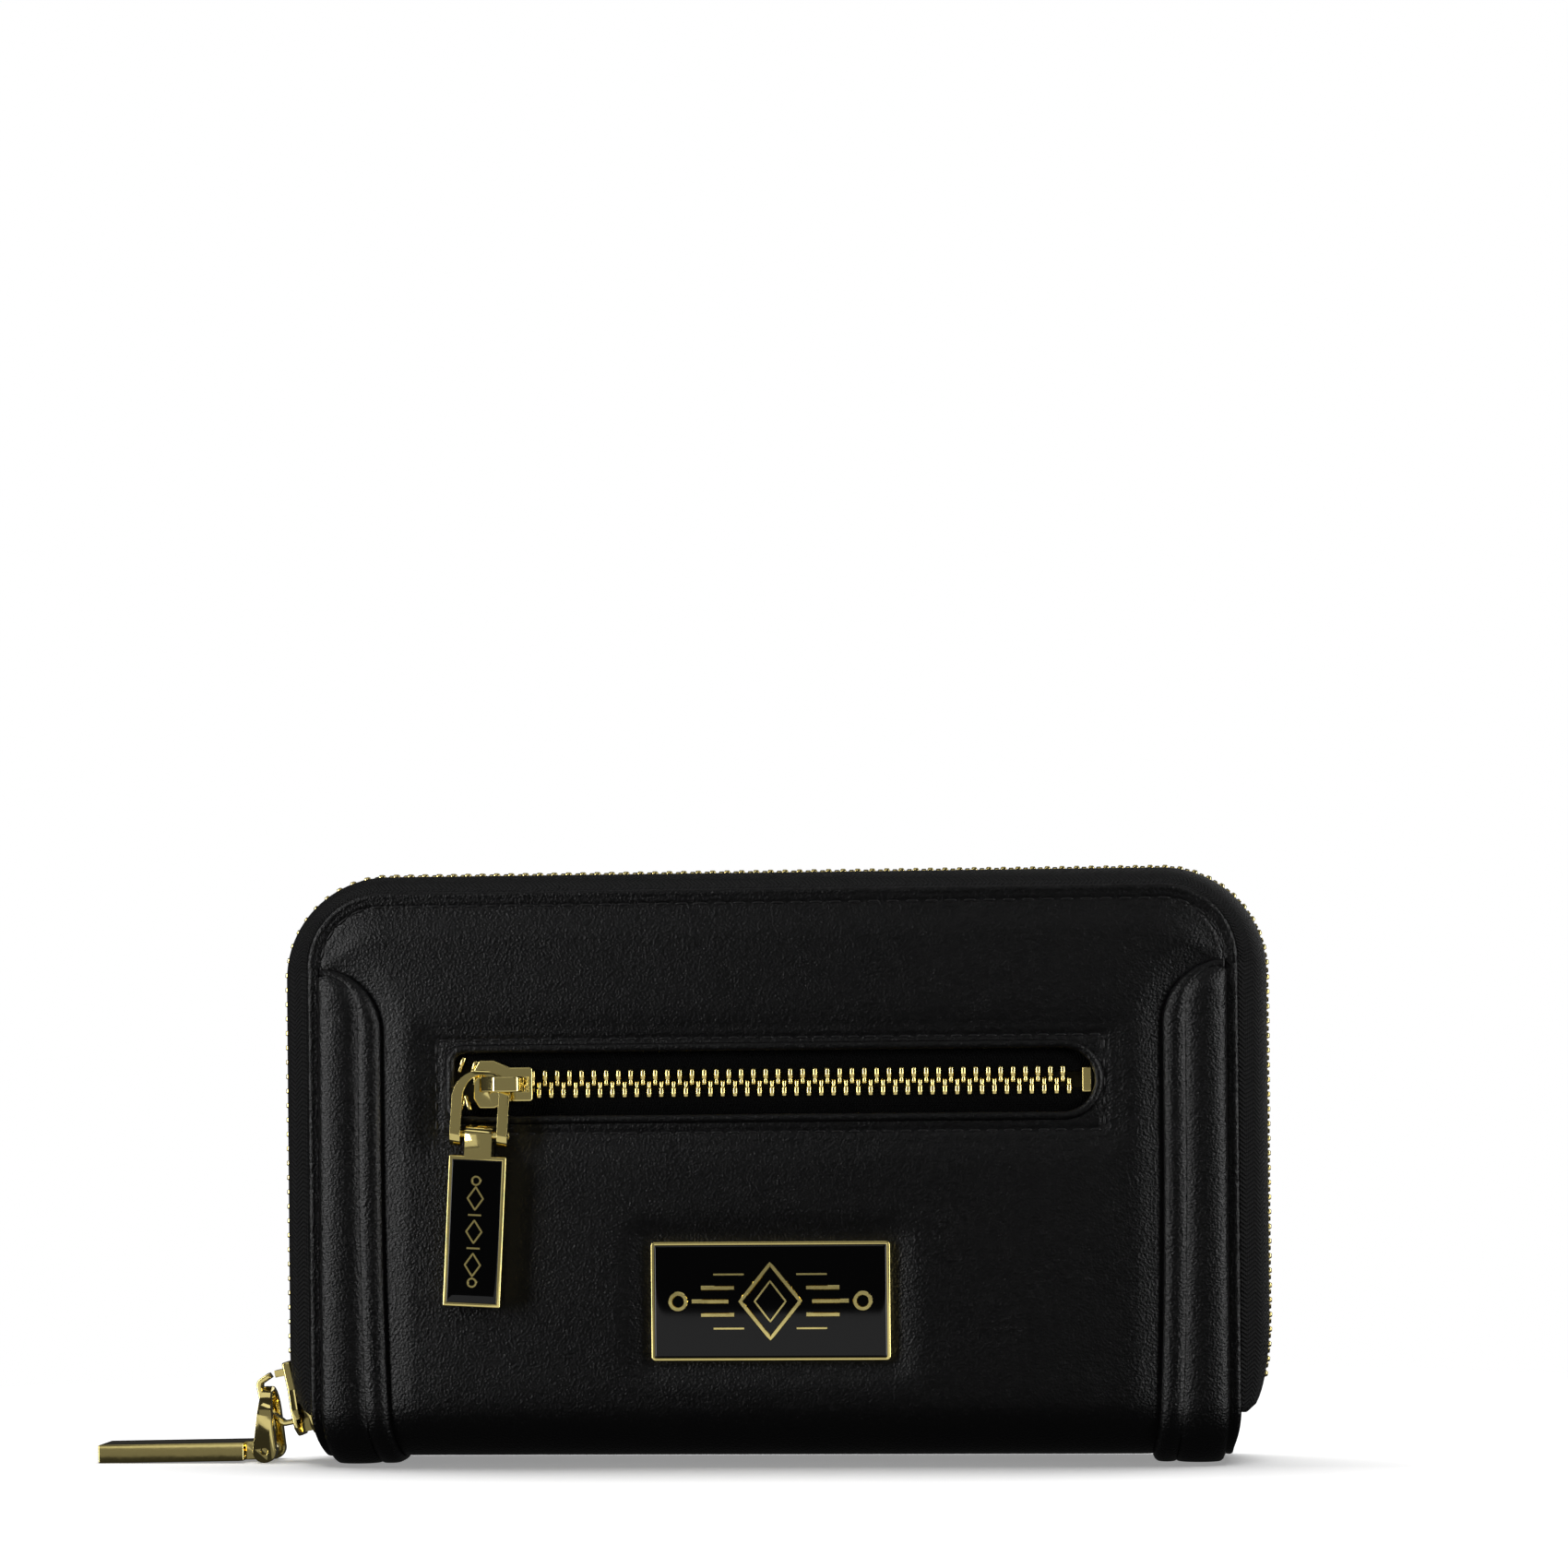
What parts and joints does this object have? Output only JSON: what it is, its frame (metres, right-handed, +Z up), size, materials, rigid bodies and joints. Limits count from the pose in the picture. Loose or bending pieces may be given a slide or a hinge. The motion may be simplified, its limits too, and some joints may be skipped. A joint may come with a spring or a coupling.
{
  "type": "zip around wallet",
  "caption": "Standing zip around wallet with padded side strips, a front zip pocket, an enamelled badge, card slots and a zipped coin divider.",
  "frame": {"origin": "middle of the plane that the wallet stands on, centred on the leather panels", "axes": "+Z up, -Y towards the front with the zip pocket, +X to the right seen from the front"},
  "size_m": [0.2303, 0.0354, 0.1155],
  "materials": {
    "outer_leather": "fine grain, soft sheen",
    "inner_leather": "smooth, semi-matt",
    "lining_cloth": "twill lining",
    "zip_tape": "herringbone weave",
    "zip_metal": "polished pale gold",
    "gold_metal": "polished pale gold plate",
    "enamel": "glossy black enamel",
    "coil": "nylon coil",
    "foam": "thin padding",
    "board": "stiffening board",
    "backing_steel": "thin plate"
  },
  "bodies": {
    "back_cover": {"back_leather": "outer_leather", "spine_leather": "outer_leather", "spine_lining": "lining_cloth", "back_foam": "foam", "back_board": "board", "back_lining": "lining_cloth", "back_cards_left": "inner_leather", "back_cards_right": "inner_leather", "back_strip_left": "outer_leather", "back_strip_right": "outer_leather", "spine_strip_left": "outer_leather", "spine_strip_right": "outer_leather", "main_tape_back": "zip_tape", "main_teeth_back": "zip_metal", "main_end_stop": "zip_metal", "gusset_left": "inner_leather", "gusset_right": "inner_leather"},
    "front_cover": {"front_leather": "outer_leather", "front_foam": "foam", "front_board": "board", "pocket_lip": "outer_leather", "pocket_bag": "lining_cloth", "pocket_tape_upper": "zip_tape", "pocket_tape_lower": "zip_tape", "pocket_teeth_upper": "zip_metal", "pocket_teeth_lower": "zip_metal", "pocket_end_stop": "zip_metal", "front_lining": "lining_cloth", "front_cards_left": "inner_leather", "front_cards_right": "inner_leather", "front_strip_left": "outer_leather", "front_strip_right": "outer_leather", "main_tape_front": "zip_tape", "main_teeth_front": "zip_metal", "badge_plate": "gold_metal", "badge_enamel": "enamel", "badge_backing": "backing_steel"},
    "divider": {"coin_bag": "inner_leather", "coin_tapes": "zip_tape", "coin_coils": "coil"},
    "coin_slider": {"coin_slider": "gold_metal"},
    "coin_pull": {"coin_pull": "gold_metal"},
    "main_slider": {"main_slider": "gold_metal"},
    "main_link": {"main_link": "gold_metal", "main_pin": "gold_metal"},
    "main_bar": {"main_bar": "gold_metal", "main_bar_enamel": "enamel"},
    "pocket_slider": {"pocket_slider": "gold_metal"},
    "pocket_link": {"pocket_link": "gold_metal", "pocket_pin": "gold_metal"},
    "pocket_bar": {"pocket_bar": "gold_metal", "pocket_bar_enamel": "enamel"}
  },
  "joints": [
    {"name": "cover_open", "type": "hinge", "parent": "back_cover", "child": "front_cover", "pos_m": [0, -0.0149, 0.00995], "axis": [1, 0, 0], "range_deg": [0, 70], "deforming": ["gusset_left", "gusset_right", "main_tape_front", "main_tape_back", "main_teeth_front", "main_teeth_back"]},
    {"name": "divider_swing", "type": "hinge", "parent": "back_cover", "child": "divider", "pos_m": [0, -0.0149, 0.00995], "axis": [1, 0, 0], "range_deg": [0, 35]},
    {"name": "coin_slider_travel", "type": "slide", "parent": "divider", "child": "coin_slider", "axis": [1, 0, 0], "range_m": [0, 0.125], "deforming": ["coin_tapes", "coin_coils"]},
    {"name": "coin_pull_swing", "type": "hinge", "parent": "coin_slider", "child": "coin_pull", "pos_m": [-0.0692, 0, 0.1013], "axis": [0, -1, 0], "range_deg": [0, 110]},
    {"name": "main_slider_travel", "type": "slide", "parent": "back_cover", "child": "main_slider", "axis": [0, 0, 1], "range_m": [0, 0.066]},
    {"name": "main_link_swing", "type": "hinge", "parent": "main_slider", "child": "main_link", "pos_m": [-0.10079, 0, 0.0143], "axis": [0, 1, 0], "range_deg": [0, 90]},
    {"name": "main_bar_swing", "type": "hinge", "parent": "main_link", "child": "main_bar", "pos_m": [-0.10079, 0, 0.0023], "axis": [0, 1, 0], "range_deg": [-90, 15]},
    {"name": "pocket_slider_travel", "type": "slide", "parent": "front_cover", "child": "pocket_slider", "axis": [1, 0, 0], "range_m": [0, 0.104], "deforming": ["pocket_tape_upper", "pocket_tape_lower", "pocket_teeth_upper", "pocket_teeth_lower"]},
    {"name": "pocket_link_swing", "type": "hinge", "parent": "pocket_slider", "child": "pocket_link", "pos_m": [-0.05508, -0.0174, 0.07625], "axis": [0, 1, 0], "range_deg": [-15, 25]},
    {"name": "pocket_bar_swing", "type": "hinge", "parent": "pocket_link", "child": "pocket_bar", "pos_m": [-0.05571, -0.0174, 0.06427], "axis": [-0.9986, 0, 0.0523], "range_deg": [0, 95]}
  ],
  "couplings": [
    {"joint": "divider_swing", "follows": "cover_open", "ratio": 0.5}
  ]
}
